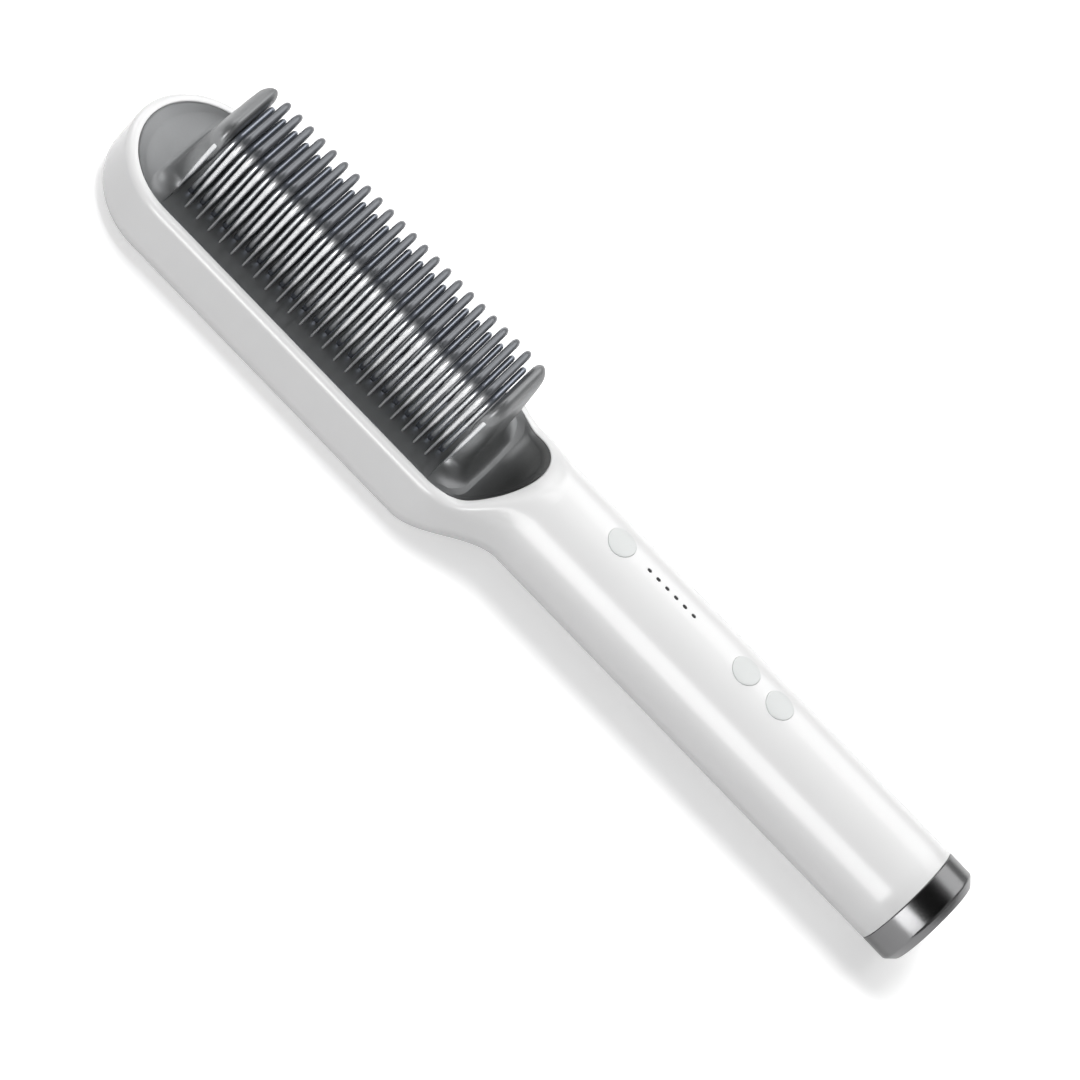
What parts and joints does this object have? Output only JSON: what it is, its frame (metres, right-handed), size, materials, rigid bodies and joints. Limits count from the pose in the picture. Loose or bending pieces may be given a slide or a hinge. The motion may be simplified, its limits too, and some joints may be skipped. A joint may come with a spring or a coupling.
{
  "type": "hair straightening brush",
  "caption": "Comb-style hair straightening brush: white body with a round handle, interleaved guard and heated blades, push buttons, indicator windows and a dark chrome end ring.",
  "frame": {"origin": "middle of the overall length and width, on the plane that the back rests on", "axes": "+X from the head to the handle's cord end, +Y across, +Z the way the blades point"},
  "size_m": [0.275, 0.0438, 0.0465],
  "materials": {
    "white_plastic": "satin gloss",
    "button_plastic": "satin",
    "guard_plastic": "satin",
    "heated_metal": "satin coated aluminium",
    "silicone": "matt",
    "heater_sleeve": "mill finish",
    "amber_film": "glossy",
    "zinc_steel": "zinc plated",
    "fuse_case": "satin",
    "bead_ceramic": "matt",
    "shield_board": "matt",
    "red_wire": "matt",
    "white_wire": "matt",
    "board_green": "satin",
    "black_plastic": "matt",
    "lamp_white": "glossy",
    "smoked_guide": "glossy",
    "relay_case": "satin",
    "capacitor_sleeve": "satin",
    "coil_core": "matt",
    "dark_chrome": "mirror",
    "end_grey": "satin",
    "contact_brass": "satin"
  },
  "bodies": {
    "brush": {"front_shell": "white_plastic", "back_cover": "white_plastic", "comb_guard": "guard_plastic", "heating_comb": "heated_metal", "gasket": "silicone", "heater_bar": "heater_sleeve", "insulation_film": "amber_film", "heater_clamp": "zinc_steel", "clamp_screws": "zinc_steel", "comb_screws": "zinc_steel", "thermal_fuse": "fuse_case", "thermistor": "bead_ceramic", "heat_shield": "shield_board", "heater_leads": "red_wire", "sensor_leads": "white_wire", "cover_screws": "zinc_steel", "tact_switches": "black_plastic", "control_board": "board_green", "board_screws": "zinc_steel", "indicator_leds": "lamp_white", "light_guide": "smoked_guide", "power_relay": "relay_case", "filter_capacitor": "capacitor_sleeve", "power_coil": "coil_core", "control_chip": "black_plastic", "end_ring": "dark_chrome", "end_plate": "end_grey", "contact_pins": "contact_brass", "contact_block": "end_grey", "power_leads": "white_wire"},
    "power_key": {"power_button": "button_plastic", "power_plunger": "black_plastic"},
    "up_key": {"up_button": "button_plastic", "up_plunger": "black_plastic"},
    "down_key": {"down_button": "button_plastic", "down_plunger": "black_plastic"},
    "swivel": {"swivel_gland": "black_plastic", "gland_clip": "zinc_steel", "contact_rings": "contact_brass"}
  },
  "joints": [
    {"name": "power_press", "type": "slide", "parent": "brush", "child": "power_key", "axis": [0, 0, -1], "range_m": [0, 0.0004], "stiffness_N_per_m": 4000},
    {"name": "up_press", "type": "slide", "parent": "brush", "child": "up_key", "axis": [0, 0, -1], "range_m": [0, 0.0004], "stiffness_N_per_m": 4000},
    {"name": "down_press", "type": "slide", "parent": "brush", "child": "down_key", "axis": [0, 0, -1], "range_m": [0, 0.0004], "stiffness_N_per_m": 4000},
    {"name": "cord_swivel", "type": "hinge", "parent": "brush", "child": "swivel", "pos_m": [0.1349, 0, 0.018], "axis": [1, 0, 0], "continuous": true}
  ]
}
